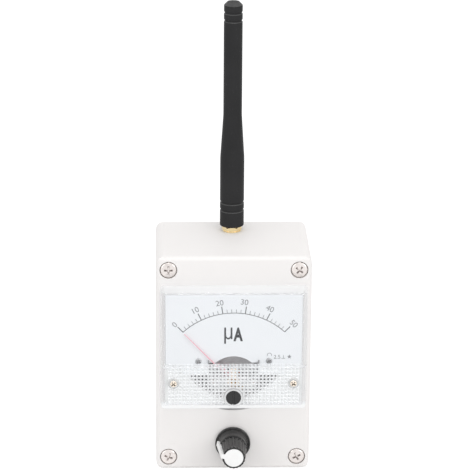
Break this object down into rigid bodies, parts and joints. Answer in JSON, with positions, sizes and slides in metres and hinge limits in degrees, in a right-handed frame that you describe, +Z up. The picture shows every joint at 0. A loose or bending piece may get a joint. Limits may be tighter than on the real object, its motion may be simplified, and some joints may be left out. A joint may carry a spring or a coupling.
{
  "type": "field strength meter",
  "caption": "Hand-held radio field strength meter: a plastic box with a clear-fronted panel meter, a fluted control knob and a screw-on rubber antenna on top.",
  "frame": {"origin": "the middle of the case's underside, where it stands", "axes": "+Z up, along the antenna; the meter and the knob face -Y; +X to the right seen from the front"},
  "size_m": [0.068, 0.0671, 0.2046],
  "materials": {
    "white_case": "satin moulded plastic",
    "seal": "soft matte",
    "nickel": "nickel plated",
    "clear_cover": "clear, polished",
    "brass": "bright",
    "white_flange": "matte",
    "pale_can": "satin",
    "dial_white": "matte paint with black print",
    "light_metal": "satin",
    "soft_iron": "plated",
    "magnet": "ground",
    "copper": "enamelled wire",
    "bronze": "spring strip",
    "red_needle": "red paint",
    "black_adjuster": "polished",
    "board": "lacquered",
    "diode": "glossy",
    "ceramic": "dipped",
    "choke": "dipped",
    "laminate": "matte",
    "black_knob": "satin",
    "white_cap": "satin",
    "gold": "gold plated",
    "insulator": "waxy",
    "black_rubber": "matte",
    "red_lead": "wire covering",
    "blue_lead": "wire covering"
  },
  "bodies": {
    "case": {"rear_shell": "white_case", "front_lid": "white_case", "lid_seal": "seal", "lid_screws": "nickel", "meter_cover": "clear_cover", "cover_screws": "brass", "meter_flange": "white_flange", "meter_can": "pale_can", "meter_studs": "brass", "meter_nuts": "nickel", "dial_plate": "dial_white", "dial_screws": "nickel", "dial_bracket": "light_metal", "frame_pillars": "nickel", "yoke": "soft_iron", "core_magnet": "magnet", "core_supports": "brass", "front_bridge": "light_metal", "rear_bridge": "light_metal", "bridge_screws": "nickel", "bearing_screws": "brass", "terminal_studs": "brass", "terminal_nuts": "nickel", "detector_board": "board", "detector_diodes": "diode", "disc_capacitors": "ceramic", "signal_choke": "choke", "load_resistor": "ceramic", "control_plate": "nickel", "control_wafer": "laminate", "control_cover": "nickel", "control_lugs": "nickel", "control_washer": "nickel", "control_nut": "nickel", "jack_body": "gold", "jack_insulator": "insulator", "jack_contact": "gold", "jack_washer": "gold", "jack_nut": "gold", "signal_lead": "red_lead", "control_leads": "blue_lead"},
    "knob": {"knob": "black_knob", "knob_cap": "white_cap", "control_shaft": "light_metal", "control_wiper": "brass"},
    "needle": {"needle": "red_needle", "moving_coil": "copper", "coil_former": "light_metal", "coil_pivots": "nickel", "balance_weight": "brass", "front_hairspring": "bronze", "rear_hairspring": "bronze"},
    "zero_adjuster": {"zero_adjuster": "black_adjuster"},
    "zero_lever": {"zero_lever": "brass"},
    "antenna_core": {"plug_body": "gold", "plug_insulator": "insulator", "radiating_wire": "gold"},
    "antenna": {"antenna_sleeve": "black_rubber", "coupling_nut": "gold"}
  },
  "joints": [
    {"name": "knob_turn", "type": "hinge", "parent": "case", "child": "knob", "pos_m": [0, -0.03, 0.0128], "axis": [0, 1, 0], "range_deg": [-80, 220]},
    {"name": "needle_swing", "type": "hinge", "parent": "case", "child": "needle", "pos_m": [0, -0.025, 0.043], "axis": [0, 1, 0], "range_deg": [-1.5, 88.5], "stiffness_Nm_per_rad": 0.00005, "deforming": ["front_hairspring", "rear_hairspring"]},
    {"name": "zero_adjuster_turn", "type": "hinge", "parent": "case", "child": "zero_adjuster", "pos_m": [0, -0.03, 0.0367], "axis": [0, 1, 0], "range_deg": [-30, 30]},
    {"name": "zero_lever_swing", "type": "hinge", "parent": "case", "child": "zero_lever", "pos_m": [0, -0.027, 0.043], "axis": [0, 1, 0], "range_deg": [-4.4, 4.4]},
    {"name": "antenna_lift", "type": "slide", "parent": "case", "child": "antenna_core", "axis": [0, 0, 1], "range_m": [0, 0.00495]},
    {"name": "antenna_turn", "type": "hinge", "parent": "antenna_core", "child": "antenna", "pos_m": [0, 0.0115, 0.11], "axis": [0, 0, 1], "range_deg": [0, 2520]}
  ],
  "couplings": [
    {"joint": "zero_adjuster_turn", "follows": "zero_lever_swing", "ratio": 6.7273},
    {"joint": "antenna_lift", "follows": "antenna_turn", "m_per_rad": 0.0001123}
  ]
}
